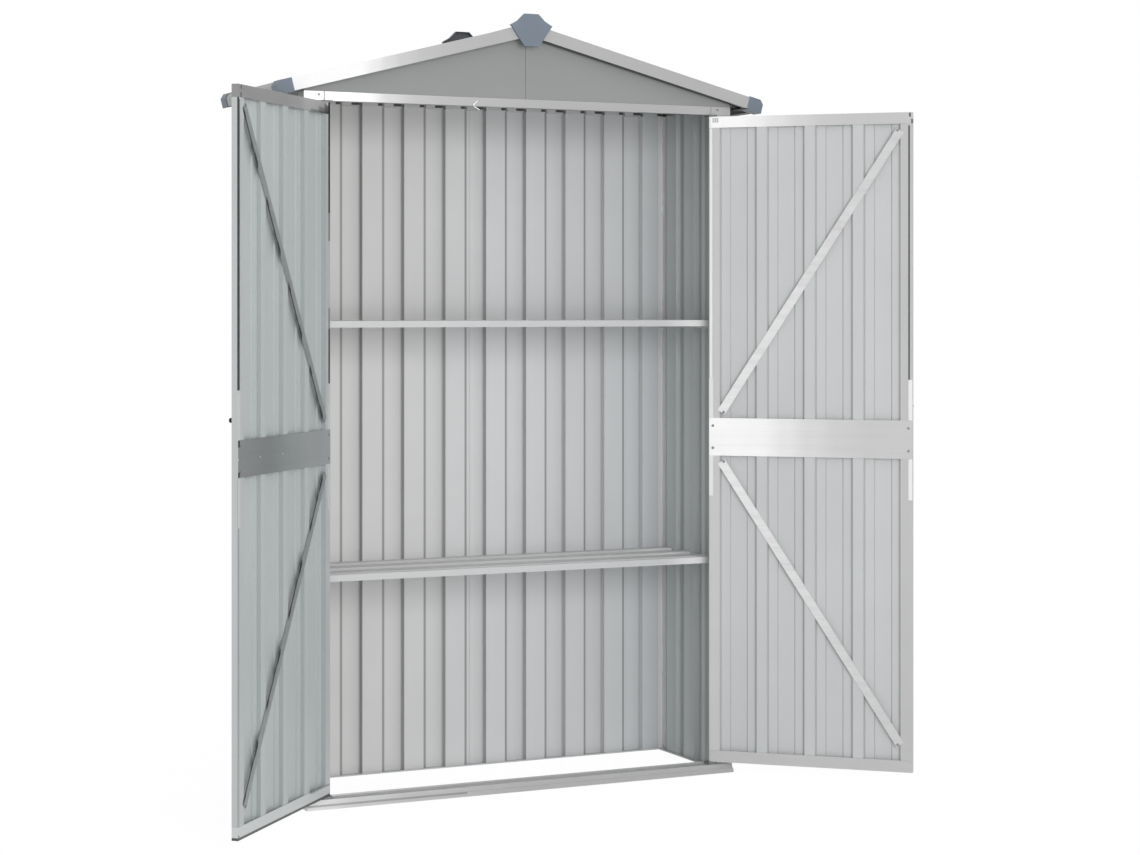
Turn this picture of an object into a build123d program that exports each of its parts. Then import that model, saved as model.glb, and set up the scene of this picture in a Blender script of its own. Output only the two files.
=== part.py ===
from build123d import *
import math
import os

# A narrow sheet-steel garden shed with two hinged doors, two shelves and a low gabled roof.
# Millimetres. +X to the right of someone facing the doors, +Y into the shed, +Z up.
# The origin is on the ground, midway along the doorway, in the plane of the header's face.

# Driving dimensions: walls
front_width = 1054.0
wall_depth = 340.0
back_rib_pitch = 104.9
back_rib_crest = 50.0
wall_rib_web = 2.5
rib_height = 12.0
first_back_rib = -454.8
back_rib_count = 10
first_side_rib = 90.0
side_rib_pitch = 90.0
side_rib_crest = 54.0
side_rib_count = 3
panel_lap = 20.0
panel_lap_ease = 1.0
panel_seam = 16.0

# Driving dimensions: sheet metal and fits
sheet = 0.8
gap = 0.3
plastic = 1.6
cut_spare = 1.0

# Driving dimensions: base and top frame
rail_width = 22.0
rail_outer = 28.0
rail_inner = 3.0
header_bottom = 1542.0
header_height = 19.5
post_leg = 38.0
header_corner_length = 50.0

# Driving dimensions: sill
sill_toe = 20.0
sill_front = 11.0
sill_top = 20.0
sill_lip_height = 3.0
sill_lip_width = 2.0
sill_step = 3.0

# Driving dimensions: door jambs
jamb_face = 33.0
jamb_step = 11.0
stop_width = 16.0

# Driving dimensions: roof
roof_width = 1200.0
roof_depth = 400.0
roof_pitch = 14.4
roof_drop = 4.7
trim_height = 27.6
trim_lip = 22.0
trim_return = 10.0
trim_chamfer = 8.0
roof_rib_crest = 30.0
roof_rib_web = 6.0
roof_bays = 4
roof_edge_crest = 20.0
ridge_gap = 8.0
corner_cap_length = 36.0
corner_cap_wrap = 36.0

# Driving dimensions: ridge
ridge_top_half = 16.0
ridge_shoulder_half = 31.0
ridge_foot_half = 50.0
ridge_shoulder_drop = 15.0
ridge_cap_rise = 21.0
ridge_cap_lift = 5.0
ridge_cap_foot_half = 17.8
ridge_cap_length = 10.0
ridge_cap_reach = 5.0
ridge_cap_hang = 52.0

# Driving dimensions: doors
door_gap = 6.0
door_bottom = 27.0
door_head_gap = 5.0
door_setback = 1.0
door_thickness = 15.0
door_frame_flange = 25.0
top_rail_height = 26.0
bottom_rail_height = 27.0
free_stile_flange = 22.0
edge_bead = 5.5
bead_slit = 4.2
hinge_bead = 6.5
hinge_slit = 1.6
slit_end = 4.0
strip_width = 9.0
strip_reach_below = 138.0
strip_reach_above = 137.0
door_bays = 4
door_crest = 25.0
door_shoulder = 23.0
door_shoulder_rise = 3.0
door_web = 2.0
plate_middle = 788.0
plate_height = {"left": 75.0, "right": 88.0}
brace_width = 20.0
brace_hinge_inset = 29.0
brace_free_inset = 28.0
brace_near_plate = 57.5
brace_below_top = 41.0
brace_above_bottom = 63.0
knob_height = 865.0
knob_inset = {"left": 7.0, "right": 5.2}
knob_radius = 5.0
knob_reach = 7.0

# Driving dimensions: hinges
pin_inset = 5.0
pin_depth = 5.0
pin_radius = 3.0
pin_clearance = 0.06
pin_head_radius = 3.3
pin_head_height = 3.0
jamb_clearance = 13.0
bracket_width = 21.0
opening = {"left": 132.2, "right": 137.2}

# Driving dimensions: shelves
shelf_heights = {"lower_shelf": 501.7, "upper_shelf": 1060.6}
shelf_front = 37.0
shelf_depth = 288.0
shelf_lip = 14.5
shelf_hem = 8.0
shelf_rib_count = 3
shelf_rib_crest = 34.0
shelf_rib_web = 4.0
shelf_rib_height = 5.0
shelf_deck_drop = 5.0
cleat_leg = 14.0

# Sizes that follow from the ones above
half_width = front_width / 2
header_top = header_bottom + header_height
wall_face = sheet + gap
door_top = header_bottom - door_head_gap
door_inner = -door_setback
pin_y = door_inner - pin_depth
door_outer = door_inner - door_thickness
door_edge = half_width - jamb_face - jamb_clearance
pin_x = door_edge - pin_inset
door_width = door_edge - door_gap / 2
wall_top = header_top - wall_face
strip_bottom = plate_middle - strip_reach_below
strip_top = plate_middle + strip_reach_above
pitch = math.radians(roof_pitch)
roof_origin = header_top + roof_drop + half_width * math.tan(pitch)
roof_front = -(roof_depth - wall_depth) / 2
roof_back = wall_depth - roof_front
roof_middle = wall_depth / 2
trim_front = roof_front + plastic
eave_tip = (roof_width / 2 - (trim_height - trim_chamfer) * math.sin(pitch)) / math.cos(pitch)
trim_tip = eave_tip - plastic
roof_under = trim_height - 2 * sheet - gap - rib_height
gable_line = roof_under - gap

section_x = Plane(origin=(0, 0, 0), x_dir=(0, 1, 0), z_dir=(1, 0, 0))
slope_out = (math.cos(pitch), 0, -math.sin(pitch))
slope_section = Plane(origin=(0, 0, roof_origin), x_dir=(0, 1, 0), z_dir=slope_out)
slope_side = Plane(origin=(0, 0, roof_origin), x_dir=slope_out, z_dir=(0, -1, 0))


def offset_line(points, distance):
    """Open line moved sideways by a distance, to the left of travel where it is positive."""
    moved = []
    for i, (x, y) in enumerate(points):
        normals = []
        for a, b in ((i - 1, i), (i, i + 1)):
            if a >= 0 and b < len(points):
                dx = points[b][0] - points[a][0]
                dy = points[b][1] - points[a][1]
                length = math.hypot(dx, dy)
                normals.append((-dy / length, dx / length))
        nx = sum(n[0] for n in normals) / len(normals)
        ny = sum(n[1] for n in normals) / len(normals)
        scale = distance / (nx * nx + ny * ny)
        moved.append((x + nx * scale, y + ny * scale))
    return moved


def folded(points, thickness=-sheet):
    """Outline of a sheet folded along an open line."""
    return list(points) + offset_line(points, thickness)[::-1]


def face(outline):
    return make_face(Polyline(*outline, close=True))


def along_x(outline, x0, x1):
    """Solid with a section in Y and Z, running from x0 to x1."""
    return extrude(section_x.offset(x0) * face(outline), amount=x1 - x0)


def along_y(outline, y0, y1, plane=Plane.XZ):
    """Solid with an upright section, running from y0 to y1."""
    return extrude(plane.offset(-y0) * face(outline), amount=y0 - y1)


def along_z(outline, z0, z1):
    """Solid with a section in plan, running from z0 to z1."""
    return extrude(Plane.XY.offset(z0) * face(outline), amount=z1 - z0)


def down_slope(outline, s0, s1):
    """Solid with a section in Y and across the right-hand roof slope, from s0 to s1 down it."""
    return extrude(slope_section.offset(s0) * face(outline), amount=s1 - s0)


def block(low, high):
    """Upright box between two corners."""
    size = [b - a for a, b in zip(low, high)]
    middle = [(a + b) / 2 for a, b in zip(low, high)]
    return Pos(*middle) * Box(*size)


def mirrored(part):
    return mirror(part, about=Plane.YZ)


def both_sides(part):
    return [part, mirrored(part)]


def ribs(start, end, centres, crest, web, height):
    """Open line of a ribbed sheet: flat at 0, raised to height at each rib."""
    line = [(start, 0.0)]
    for centre in centres:
        line.append((centre - crest / 2 - web, 0.0))
        line.append((centre - crest / 2, height))
        line.append((centre + crest / 2, height))
        line.append((centre + crest / 2 + web, 0.0))
    line.append((end, 0.0))
    return line


def back_walls():
    """Two ribbed sheets that lap in a flat near the middle of the back wall."""
    centres = [first_back_rib + i * back_rib_pitch for i in range(back_rib_count)]
    edge = half_width - sheet - 2 * gap
    outer = wall_depth - wall_face
    lap = panel_lap / 2
    left_line = ribs(-edge, panel_seam + lap, [c for c in centres if c < panel_seam],
                     back_rib_crest, wall_rib_web, rib_height)
    right_line = ribs(panel_seam - lap, edge, [c for c in centres if c > panel_seam],
                      back_rib_crest, wall_rib_web, rib_height)
    over = sheet + gap / 3
    right_line[0] = (panel_seam - lap, over)
    eased = panel_seam + lap + panel_lap_ease
    right_line[1:1] = [(eased, over), (eased + sheet, 0.0)]
    walls = []
    for line in (left_line, right_line):
        plan = folded([(x, outer - h) for x, h in line])
        walls.append(along_z(plan, sheet + gap, wall_top))
    return walls


def side_wall():
    """Ribbed sheet of the right-hand side."""
    centres = [first_side_rib + i * side_rib_pitch for i in range(side_rib_count)]
    start = sill_back() + gap
    line = ribs(start, wall_depth - 2 * wall_face, centres, side_rib_crest, wall_rib_web, rib_height)
    plan = folded([(half_width - wall_face - h, y) for y, h in line], sheet)
    return along_z(plan, sheet + gap, wall_top)


def bottom_rail_section(outer):
    """Open channel that holds the foot of a wall sheet, with its tall side outwards."""
    inner = outer - rail_width
    return folded([(outer, rail_outer), (outer, 0), (inner, 0), (inner, rail_inner)])


def side_bottom_rail():
    """Right-hand bottom channel, mitred at the back corner."""
    rail = along_y(bottom_rail_section(half_width), sill_back() + gap, wall_depth)
    inner = half_width - rail_width - cut_spare
    beyond = wall_depth + cut_spare
    corner = [(half_width, wall_depth), (half_width, beyond), (inner, beyond),
              (inner, wall_depth - rail_width - cut_spare)]
    return rail - along_z(corner, -cut_spare, rail_outer + cut_spare)


def back_bottom_rail():
    """Back bottom channel, mitred at both ends and a hair short of the side rails."""
    inner = half_width - rail_width
    rail = along_x(bottom_rail_section(wall_depth), -half_width, half_width)
    plan = [(-half_width + gap, wall_depth), (half_width - gap, wall_depth),
            (inner - gap, wall_depth - rail_width), (-inner + gap, wall_depth - rail_width)]
    return rail & along_z(plan, -cut_spare, rail_outer + cut_spare)


def sill_back():
    return 2 * jamb_step


def front_sill():
    """Folded threshold with a stepped ramp in front and a raised hem at the back."""
    back = sill_back()
    lip = back - sill_lip_width
    ramp_run = (sill_toe - sill_front) / 3
    ramp_rise = (sill_top - 2 * sill_step) / 2
    top = sill_top + sill_lip_height
    line = [(0.5 * back, 0), (-sill_toe, 0), (-sill_toe, sill_step),
            (-sill_toe + ramp_run, sill_step + ramp_rise),
            (-sill_toe + 2 * ramp_run, sill_step + ramp_rise),
            (-sill_front, sill_top), (lip, sill_top), (lip, top), (back, top), (back, 0)]
    sill = along_x(folded(line), -half_width, half_width)
    end = along_x(line[1:], half_width - sheet, half_width)
    for plate in both_sides(end):
        sill += plate
    return sill


def jamb():
    """Right-hand door jamb: a stop flange, a step, a face and a leg round the corner."""
    face_edge = half_width - jamb_face
    line = [(face_edge - stop_width, jamb_step), (face_edge, jamb_step), (face_edge, 0),
            (half_width, 0), (half_width, post_leg)]
    post = along_z(folded(line, sheet), sill_top + gap, header_bottom - gap)
    notch = block((half_width - 2 * sheet, sill_back() - sill_lip_width - gap, 0),
                  (half_width + cut_spare, post_leg + cut_spare, rail_outer + gap))
    return post - notch


def rear_post():
    """Right-hand rear corner angle, flush with the rails above and below it."""
    line = [(half_width, wall_depth - post_leg), (half_width, wall_depth),
            (half_width - post_leg, wall_depth)]
    return along_z(folded(line, sheet), rail_outer + gap, header_bottom - gap)


def front_header():
    line = [(rail_width, header_bottom), (0, header_bottom), (0, header_top), (rail_width, header_top)]
    return along_x(folded(line), -half_width, half_width)


def back_top_rail():
    """Angle over the back wall's outer face and its top edge."""
    line = [(wall_depth, header_bottom), (wall_depth, header_top), (wall_depth - rail_width, header_top)]
    return along_x(folded(line, sheet), -half_width, half_width)


def roof_height(x, n):
    """Height at a distance x from the middle of a line that lies n above the trims' lower edge."""
    return roof_origin + n / math.cos(pitch) - x * math.tan(pitch)


def side_top_rail():
    """Right-hand angle between the wall and the roof, with its top flange laid to the roof's slope."""
    inner = half_width - rail_width
    line = [(half_width, header_bottom), (half_width, roof_height(half_width, gable_line)),
            (inner, roof_height(inner, gable_line))]
    start = rail_width + gap
    return along_y(folded(line, sheet), start, wall_depth - start)


def header_corner():
    """Right-hand corner piece that wraps the end of the header."""
    line = [(half_width - header_corner_length, -gap), (half_width + gap, -gap),
            (half_width + gap, post_leg)]
    return along_z(folded(line), header_bottom, header_top)


def gable_half():
    """Right-hand half of the front gable: a flat pan with its flanges turned inwards."""
    outline = [(gap / 2, header_top + gap), (half_width, header_top + gap),
               (half_width, roof_height(half_width, gable_line)), (gap / 2, roof_height(0, gable_line))]
    pan = along_y(outline, 0, rail_width)
    hollow = [(gap / 2 + sheet, header_top + gap + sheet), (half_width - sheet, header_top + gap + sheet),
              (half_width - sheet, roof_height(half_width, gable_line - sheet)),
              (gap / 2 + sheet, roof_height(0, gable_line - sheet))]
    return pan - along_y(hollow, sheet, rail_width + cut_spare)


def to_back(part):
    """Turn a front piece into the matching rear one."""
    return mirror(part, about=Plane.XZ.offset(-roof_middle))


def roof_sheet():
    """Right-hand roof sheet, with ribs that run down the slope and raised side edges."""
    start = trim_front + sheet + gap
    end = 2 * roof_middle - start
    bay = (end - start - 2 * roof_edge_crest) / roof_bays
    centres = [start + roof_edge_crest + (i + 0.5) * bay for i in range(roof_bays)]
    line = [(start, rib_height), (start + roof_edge_crest, rib_height)]
    line += ribs(start + roof_edge_crest + roof_rib_web, end - roof_edge_crest - roof_rib_web,
                 centres, roof_rib_crest, roof_rib_web, rib_height)
    line += [(end - roof_edge_crest, rib_height), (end, rib_height)]
    section = folded([(y, roof_under + sheet + h) for y, h in line])
    return down_slope(section, ridge_gap, trim_tip - trim_chamfer - gap)


def verge_trim():
    """Right-hand front verge: a channel over the raw edge of the roof sheet."""
    line = [(trim_front + trim_return, 0), (trim_front, 0), (trim_front, trim_height),
            (trim_front + trim_lip, trim_height)]
    trim = down_slope(folded(line), -trim_height, trim_tip - trim_chamfer - gap)
    far = block((-half_width, roof_front, 0), (gap / 2, roof_back, 2 * roof_origin))
    return trim - far


def eave_line(grow=0.0, lip=trim_lip, under=trim_return):
    """Line of the eave trim in the slope's own axes, moved outwards by grow."""
    tip = trim_tip
    line = [(tip - lip, trim_height), (tip - trim_chamfer, trim_height), (tip, trim_height - trim_chamfer),
            (tip, 0), (tip - under, 0)]
    return offset_line(line, grow)


def eave_trim():
    """Right-hand eave trim, between the two verge trims."""
    start = trim_front + trim_lip + gap
    return along_y(folded(eave_line()), start, wall_depth - start, slope_side)


def eave_corner_cap():
    """Right-hand front corner cap that slips over the ends of the eave and verge trims."""
    line = eave_line(gap + plastic, corner_cap_length, corner_cap_length)
    sleeve = along_y(folded(line, -plastic), roof_front, roof_front + corner_cap_wrap, slope_side)
    plate = along_y(line, roof_front, trim_front - gap, slope_side)
    return sleeve + plate


def over_roof(x):
    """Height at a distance x from the middle of a sheet that lies on the trims."""
    return roof_height(x, trim_height) + sheet + gap


def ridge_strip():
    """Flashing bent along the ridge and laid on both roof slopes."""
    foot = over_roof(ridge_foot_half)
    line = [(-ridge_foot_half, foot), (0, over_roof(0)), (ridge_foot_half, foot)]
    return along_y(folded(line), trim_front, wall_depth - trim_front)


def cap_line():
    """Line over the top of a ridge end, from its left foot to its right foot."""
    top = roof_height(0, trim_height) + ridge_cap_rise - plastic - gap
    half = [(ridge_top_half, top), (ridge_shoulder_half, top - ridge_shoulder_drop),
            (ridge_foot_half, over_roof(ridge_foot_half) + ridge_cap_lift)]
    line = [(-x, z) for x, z in half[::-1]] + half
    return offset_line(line, gap + plastic)


def ridge_cap():
    """Front ridge end: a raised tray that closes the apex, with a rim over the ridge strip."""
    line = cap_line()
    front = roof_front - ridge_cap_reach
    foot = roof_height(0, trim_height) - ridge_cap_hang
    outline = line + [(ridge_cap_foot_half, foot), (-ridge_cap_foot_half, foot)]
    closed = face(outline)
    hollow = offset(closed, amount=-plastic)
    back = trim_front - gap
    tray = extrude(Plane.XZ.offset(-front) * closed, amount=front - back)
    tray -= extrude(Plane.XZ.offset(-front - plastic) * hollow, amount=front - back - cut_spare)
    sleeve = along_y(folded(line, -plastic), front, front + ridge_cap_length)
    return tray + sleeve


def shelf(top):
    """Ribbed shelf with a hemmed lip along its front edge."""
    end = half_width - wall_face - rib_height - sheet - 2 * gap - sheet
    deck = top - shelf_deck_drop
    rear = shelf_front + shelf_depth
    bay = shelf_depth / shelf_rib_count
    centres = [shelf_front + (i + 0.5) * bay + shelf_rib_web for i in range(shelf_rib_count)]
    line = [(shelf_front + shelf_hem, top - shelf_lip), (shelf_front, top - shelf_lip), (shelf_front, top),
            (shelf_front + shelf_hem, top), (shelf_front + shelf_hem, deck)]
    line += [(y, deck + h) for y, h in ribs(shelf_front + shelf_hem, rear, centres,
                                            shelf_rib_crest, shelf_rib_web, shelf_rib_height)[1:]]
    return along_x(folded(line), -end, end)


def shelf_cleat(top):
    """Right-hand angle on the side wall that carries a shelf's end."""
    wall = half_width - wall_face - rib_height - sheet - gap
    seat = top - shelf_deck_drop - sheet - gap
    line = [(wall, seat - cleat_leg), (wall, seat), (wall - cleat_leg, seat)]
    start = shelf_front + shelf_hem + 2 * sheet
    return along_y(folded(line, sheet), start, shelf_front + shelf_depth)


def hinge_bracket():
    """Right-hand top bracket under the header, bored for the door's pin."""
    low = (pin_x - bracket_width / 2, pin_y - bracket_width / 3, door_top + gap)
    high = (pin_x + bracket_width / 2, jamb_step - gap, header_bottom - gap)
    return bored(block(low, high))


def hinge_bush():
    """Right-hand bottom block on the sill, bored for the door's pin."""
    low = (pin_x - bracket_width / 2, -sill_front, sill_top + gap)
    high = (pin_x + bracket_width / 2, jamb_step - gap, door_bottom - gap)
    return bored(block(low, high))


def bored(body):
    return body - Pos(pin_x, pin_y, 0) * Cylinder(pin_radius + pin_clearance, 4 * header_top)


def door_panel():
    """Stepped, ribbed sheet of the right-hand door."""
    bay = (door_width - door_crest) / door_bays
    edge = door_edge - sheet - gap
    free = door_gap / 2 + sheet + gap
    outer = door_outer + sheet + gap
    inner = door_inner - 2 * sheet - 2 * gap - sheet
    crest = inner - outer
    line = [(free, crest)]
    for i in range(door_bays):
        left = door_gap / 2 + door_crest + i * bay
        right = left + bay - door_crest
        line += [(left, crest), (left + door_web, door_shoulder_rise),
                 (left + door_shoulder, door_shoulder_rise), (left + door_shoulder + door_web, 0),
                 (right - door_shoulder - door_web, 0), (right - door_shoulder, door_shoulder_rise),
                 (right - door_web, door_shoulder_rise), (right, crest)]
    line.append((edge, crest))
    plan = folded([(x, outer + h) for x, h in line], sheet)
    ends = pin_head_height + 2 * sheet + gap
    return along_z(plan, door_bottom + ends, door_top - ends)


def door_rails():
    """Top and bottom channels of the right-hand door, closed at their ends."""
    rails = []
    for low, high, cut_low, cut_high in (
            (door_bottom, door_bottom + bottom_rail_height, door_bottom + sheet, door_top),
            (door_top - top_rail_height, door_top, door_bottom, door_top - sheet)):
        inner = door_inner - sheet
        rail = block((door_gap / 2, door_outer, low), (door_edge, inner, high))
        rail -= block((door_gap / 2 + sheet, door_outer + sheet, cut_low),
                      (door_edge - sheet, inner - sheet, cut_high))
        rails.append(bored(rail))
    return rails


def stile(web_x, flange, grow, bead, slit):
    """Upright channel of a door between its rails, with its flanges pointing the way of grow, +1 or -1.

    A slit parts the inner flange from the bead along its edge, from the cover strips up to the top.
    """
    inner = door_inner - sheet
    line = [(web_x + grow * flange, door_outer), (web_x, door_outer), (web_x, inner),
            (web_x + grow * flange, inner)]
    top = door_top - top_rail_height - gap
    post = along_z(folded(line, -grow * sheet), door_bottom + bottom_rail_height + gap, top)
    near, far = sorted((web_x + grow * bead, web_x + grow * (bead + slit)))
    return post - block((near, inner - 2 * sheet, strip_top), (far, door_inner, top - slit_end))


def plate_span(side):
    """Lower and upper edge of a door's mid plate."""
    half = plate_height[side] / 2
    return plate_middle - half, plate_middle + half


def mid_plate(side):
    """Flat plate across the inner side of a door."""
    low, high = plate_span(side)
    return block((door_gap / 2, door_inner - sheet, low), (door_edge, door_inner, high))


def edge_strips(side):
    """Four short strips that cover the ends of the stiles' slits above and below the mid plate."""
    low, high = plate_span(side)
    strips = []
    for x in (door_gap / 2, door_edge - strip_width):
        for z0, z1 in ((strip_bottom, low - gap), (high + gap, strip_top)):
            strips.append(block((x, door_inner - sheet, z0), (x + strip_width, door_inner, z1)))
    return strips


def braces():
    """Two flat diagonals of the right-hand door, with square ends that lie on its stiles."""
    hinge_x = door_edge - brace_hinge_inset
    free_x = door_gap / 2 + brace_free_inset
    ends = ((plate_middle + brace_near_plate, door_top - brace_below_top),
            (plate_middle - brace_near_plate, door_bottom + brace_above_bottom))
    pair = []
    for hinge_z, free_z in ends:
        length = math.hypot(hinge_x - free_x, hinge_z - free_z)
        angle = math.degrees(math.atan2(free_z - hinge_z, hinge_x - free_x))
        middle = Pos((hinge_x + free_x) / 2, door_inner - sheet / 2, (hinge_z + free_z) / 2)
        pair.append(middle * Rot(0, angle, 0) * Box(length, sheet, brace_width))
    return pair


def knob(side):
    """Small turned pull on the outer face of a door, near its meeting edge."""
    profile = [(0, 0), (knob_radius * 0.6, 0), (knob_radius * 0.6, knob_reach * 0.4),
               (knob_radius, knob_reach * 0.5), (knob_radius, knob_reach * 0.85),
               (knob_radius * 0.8, knob_reach), (0, knob_reach)]
    turned = revolve(Plane.XZ * face(profile), axis=Axis.Z)
    return Pos(door_gap / 2 + knob_inset[side], door_outer - gap, knob_height) * Rot(90, 0, 0) * turned


def hinge_pins():
    """Top and bottom pins of the right-hand door, each with a head inside its rail."""
    pins = []
    for web, way, reach in ((door_top - sheet, 1, header_bottom - gap - door_top),
                            (door_bottom + sheet, -1, door_bottom - sill_top - 2 * gap)):
        head = Pos(pin_x, pin_y, web - way * (pin_head_height / 2 + gap / 3))
        shank = Pos(pin_x, pin_y, web + way * (reach + sheet) / 2 - way * gap / 3)
        body = head * Cylinder(pin_head_radius, pin_head_height)
        body += shank * Cylinder(pin_radius, reach + sheet)
        pins.append(body)
    return pins


def swung(part, angle):
    """Right-hand door piece turned about its hinge line."""
    return Pos(pin_x, pin_y, 0) * Rot(0, 0, angle) * Pos(-pin_x, -pin_y, 0) * part


def door_pieces(side):
    """Every piece of a closed door by name, in the right-hand door's place."""
    return {
        "panel": [door_panel()],
        "rails": door_rails(),
        "hinge_stile": [stile(door_edge, door_frame_flange, -1, hinge_bead, hinge_slit)],
        "free_stile": [stile(door_gap / 2, free_stile_flange + edge_bead, 1, edge_bead, bead_slit)],
        "mid_plate": [mid_plate(side)],
        "edge_strips": edge_strips(side),
        "braces": braces(),
        "knob": [knob(side)],
        "hinge_pins": hinge_pins(),
    }


def shed_pieces():
    """Every piece of the shed by node name, as lists of solids."""
    left_back, right_back = back_walls()
    front_half = gable_half()
    verge = both_sides(verge_trim())
    corner_caps = both_sides(eave_corner_cap())
    cap = ridge_cap()
    pieces = {
        "front_sill": [front_sill()],
        "back_bottom_rail": [back_bottom_rail()],
        "side_bottom_rails": both_sides(side_bottom_rail()),
        "back_wall_left": [left_back],
        "back_wall_right": [right_back],
        "left_wall": [mirrored(side_wall())],
        "right_wall": [side_wall()],
        "rear_corner_posts": both_sides(rear_post()),
        "left_jamb": [mirrored(jamb())],
        "right_jamb": [jamb()],
        "front_header": [front_header()],
        "header_corners": both_sides(header_corner()),
        "back_top_rail": [back_top_rail()],
        "side_top_rails": both_sides(side_top_rail()),
        "front_gable_left": [mirrored(front_half)],
        "front_gable_right": [front_half],
        "rear_gable_halves": [to_back(half) for half in both_sides(front_half)],
        "roof_sheet_left": [mirrored(roof_sheet())],
        "roof_sheet_right": [roof_sheet()],
        "front_verge_trims": verge,
        "rear_verge_trims": [to_back(trim) for trim in verge],
        "eave_trims": both_sides(eave_trim()),
        "ridge_strip": [ridge_strip()],
        "ridge_caps": [cap, to_back(cap)],
        "eave_corner_caps": corner_caps + [to_back(c) for c in corner_caps],
        "shelf_cleats": [c for top in shelf_heights.values() for c in both_sides(shelf_cleat(top))],
        "hinge_brackets": both_sides(hinge_bracket()),
        "hinge_bushes": both_sides(hinge_bush()),
    }
    for name, top in shelf_heights.items():
        pieces[name] = [shelf(top)]
    for name, solids in door_pieces("right").items():
        pieces["right_door_" + name] = [swung(s, opening["right"]) for s in solids]
    for name, solids in door_pieces("left").items():
        pieces["left_door_" + name] = [mirrored(swung(s, opening["left"])) for s in solids]
    return pieces


os.makedirs("parts", exist_ok=True)
for node, solids in shed_pieces().items():
    whole = solids[0] if len(solids) == 1 else Compound(children=[s for s in solids])
    export_step(whole, f"parts/{node}.step")
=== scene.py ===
import math

import bmesh
import bpy
from mathutils import Matrix, Vector


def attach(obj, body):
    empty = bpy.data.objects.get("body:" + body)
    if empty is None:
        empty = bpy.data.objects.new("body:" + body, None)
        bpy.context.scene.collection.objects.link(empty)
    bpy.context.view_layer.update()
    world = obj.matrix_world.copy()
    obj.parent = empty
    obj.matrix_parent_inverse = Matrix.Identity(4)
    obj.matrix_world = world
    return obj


# Looks of a narrow sheet-steel garden shed with two open doors, two shelves and a low gabled roof.
# Metres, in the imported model's frame: +X to the right of someone facing the doors, +Y into the shed.

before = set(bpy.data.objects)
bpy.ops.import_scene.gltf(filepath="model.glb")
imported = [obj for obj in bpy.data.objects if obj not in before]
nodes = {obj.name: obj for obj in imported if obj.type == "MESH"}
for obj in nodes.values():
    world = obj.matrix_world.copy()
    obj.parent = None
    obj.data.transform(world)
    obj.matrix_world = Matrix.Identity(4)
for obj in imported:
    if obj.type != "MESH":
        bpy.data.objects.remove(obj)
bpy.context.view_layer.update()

# Camera, as fitted to the photograph
photo_width = 1140
photo_height = 855
focal_pixels = 2457.19
horizon_row = 306.65
camera_turn = math.radians(25.35)
camera_spot = (-2.2893, -5.0673, 1.0923)
film_width = 36.0

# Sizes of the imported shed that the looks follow
half_width = 0.527
wall_depth = 0.340
wall_high = 1.5604
rib_web = 0.0025
back_pitch = 0.1049
back_crest = 0.050
back_rib = -0.4548
back_first = back_rib - back_crest / 2 - rib_web
crest_end = back_crest + rib_web
side_pitch = 0.090
side_crest = 0.054
side_rib = 0.090
side_far_edge = side_rib + side_crest / 2
roof_pitch = math.radians(14.4)

# Sizes of a packed door when it is closed, with X from the shed's middle to its hinge
hinge_x = 0.476
hinge_y = -0.006
door_edge = 0.481
door_free = 0.003
door_inner = -0.001
door_outer = -0.016
door_low = 0.027
door_high = 1.537
top_rail = 0.026
bottom_rail = 0.027
plate_low = {"left": 0.7505, "right": 0.744}
plate_high = {"left": 0.8255, "right": 0.832}
strip_high = 0.925
bay = 0.11325
bay_crest = 0.025
bay_shoulder = 0.023
bay_web = 0.002
pan_low = bay_crest + bay_shoulder
pan_high = bay - bay_shoulder
brace_hinge = 0.452
brace_free = 0.031
brace_ends = ((0.8455, 1.496), (0.7305, 0.090))
openings = {"left": math.radians(-132.2), "right": math.radians(137.2)}
ways = {"left": -1, "right": 1}

# Spans of a place: one with no limit, the front pieces in Y, and four in X that colours follow
far = 5.0
whole = (-far, far)
front = (-0.1, 0.1)
across_wall = (-0.5, 0.55)
across_shed = (-half_width, half_width)
across_roof = (-0.6, 0.6)
across_door = (door_free, door_edge)

# Directions that faces look in, and the frame's origin
origin = (0.0, 0.0, 0.0)
leftward = (-1.0, 0.0, 0.0)
backward = (0.0, 1.0, 0.0)
frontward = (0.0, -1.0, 0.0)
upward = (0.0, 0.0, 1.0)
downward = (0.0, 0.0, -1.0)


def lin(red, green, blue):
    """Colour written as 0 to 255 on a screen, as a shader colour."""
    return tuple(((c / 255 + 0.055) / 1.055) ** 2.4 for c in (red, green, blue)) + (1.0,)


def grey(level):
    return lin(level, level, level)


# Tones that several coats share: the fold and underside greys and most uses of dark are painted shade, and
# white is painted light
outer_coat = lin(150, 153, 150)
inner_coat = lin(206, 208, 208)
white = grey(255)
fold_shade_grey = grey(90)
dark = grey(60)
underside_shade = grey(58)
black = grey(14)


# Node helpers
def place(tree, kind, inputs=None, **settings):
    """New node, with its settings, and its inputs set or linked by name or number."""
    new = tree.nodes.new(kind)
    for name, value in settings.items():
        setattr(new, name, value)
    for key, value in (inputs or {}).items():
        if isinstance(value, bpy.types.NodeSocket):
            tree.links.new(value, new.inputs[key])
        else:
            new.inputs[key].default_value = value
    return new


def sums(tree, operation, *values):
    return place(tree, "ShaderNodeMath", dict(enumerate(values)), operation=operation).outputs[0]


def ranged(tree, value, low, high, start=0.0, end=1.0):
    """Value from low to high, eased into start to end and held there outside."""
    inputs = {"Value": value, "From Min": low, "From Max": high, "To Min": start, "To Max": end}
    return place(tree, "ShaderNodeMapRange", inputs, interpolation_type="SMOOTHSTEP").outputs[0]


def tinted(tree, factor, first, second, blend="MIX"):
    inputs = {0: factor, 6: first, 7: second}
    return place(tree, "ShaderNodeMix", inputs, data_type="RGBA", blend_type=blend).outputs[2]


def noise(tree, where, scale, detail=2.0, roughness=0.5):
    inputs = {"Vector": where, "Scale": scale, "Detail": detail, "Roughness": roughness}
    return place(tree, "ShaderNodeTexNoise", inputs).outputs[0]


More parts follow.
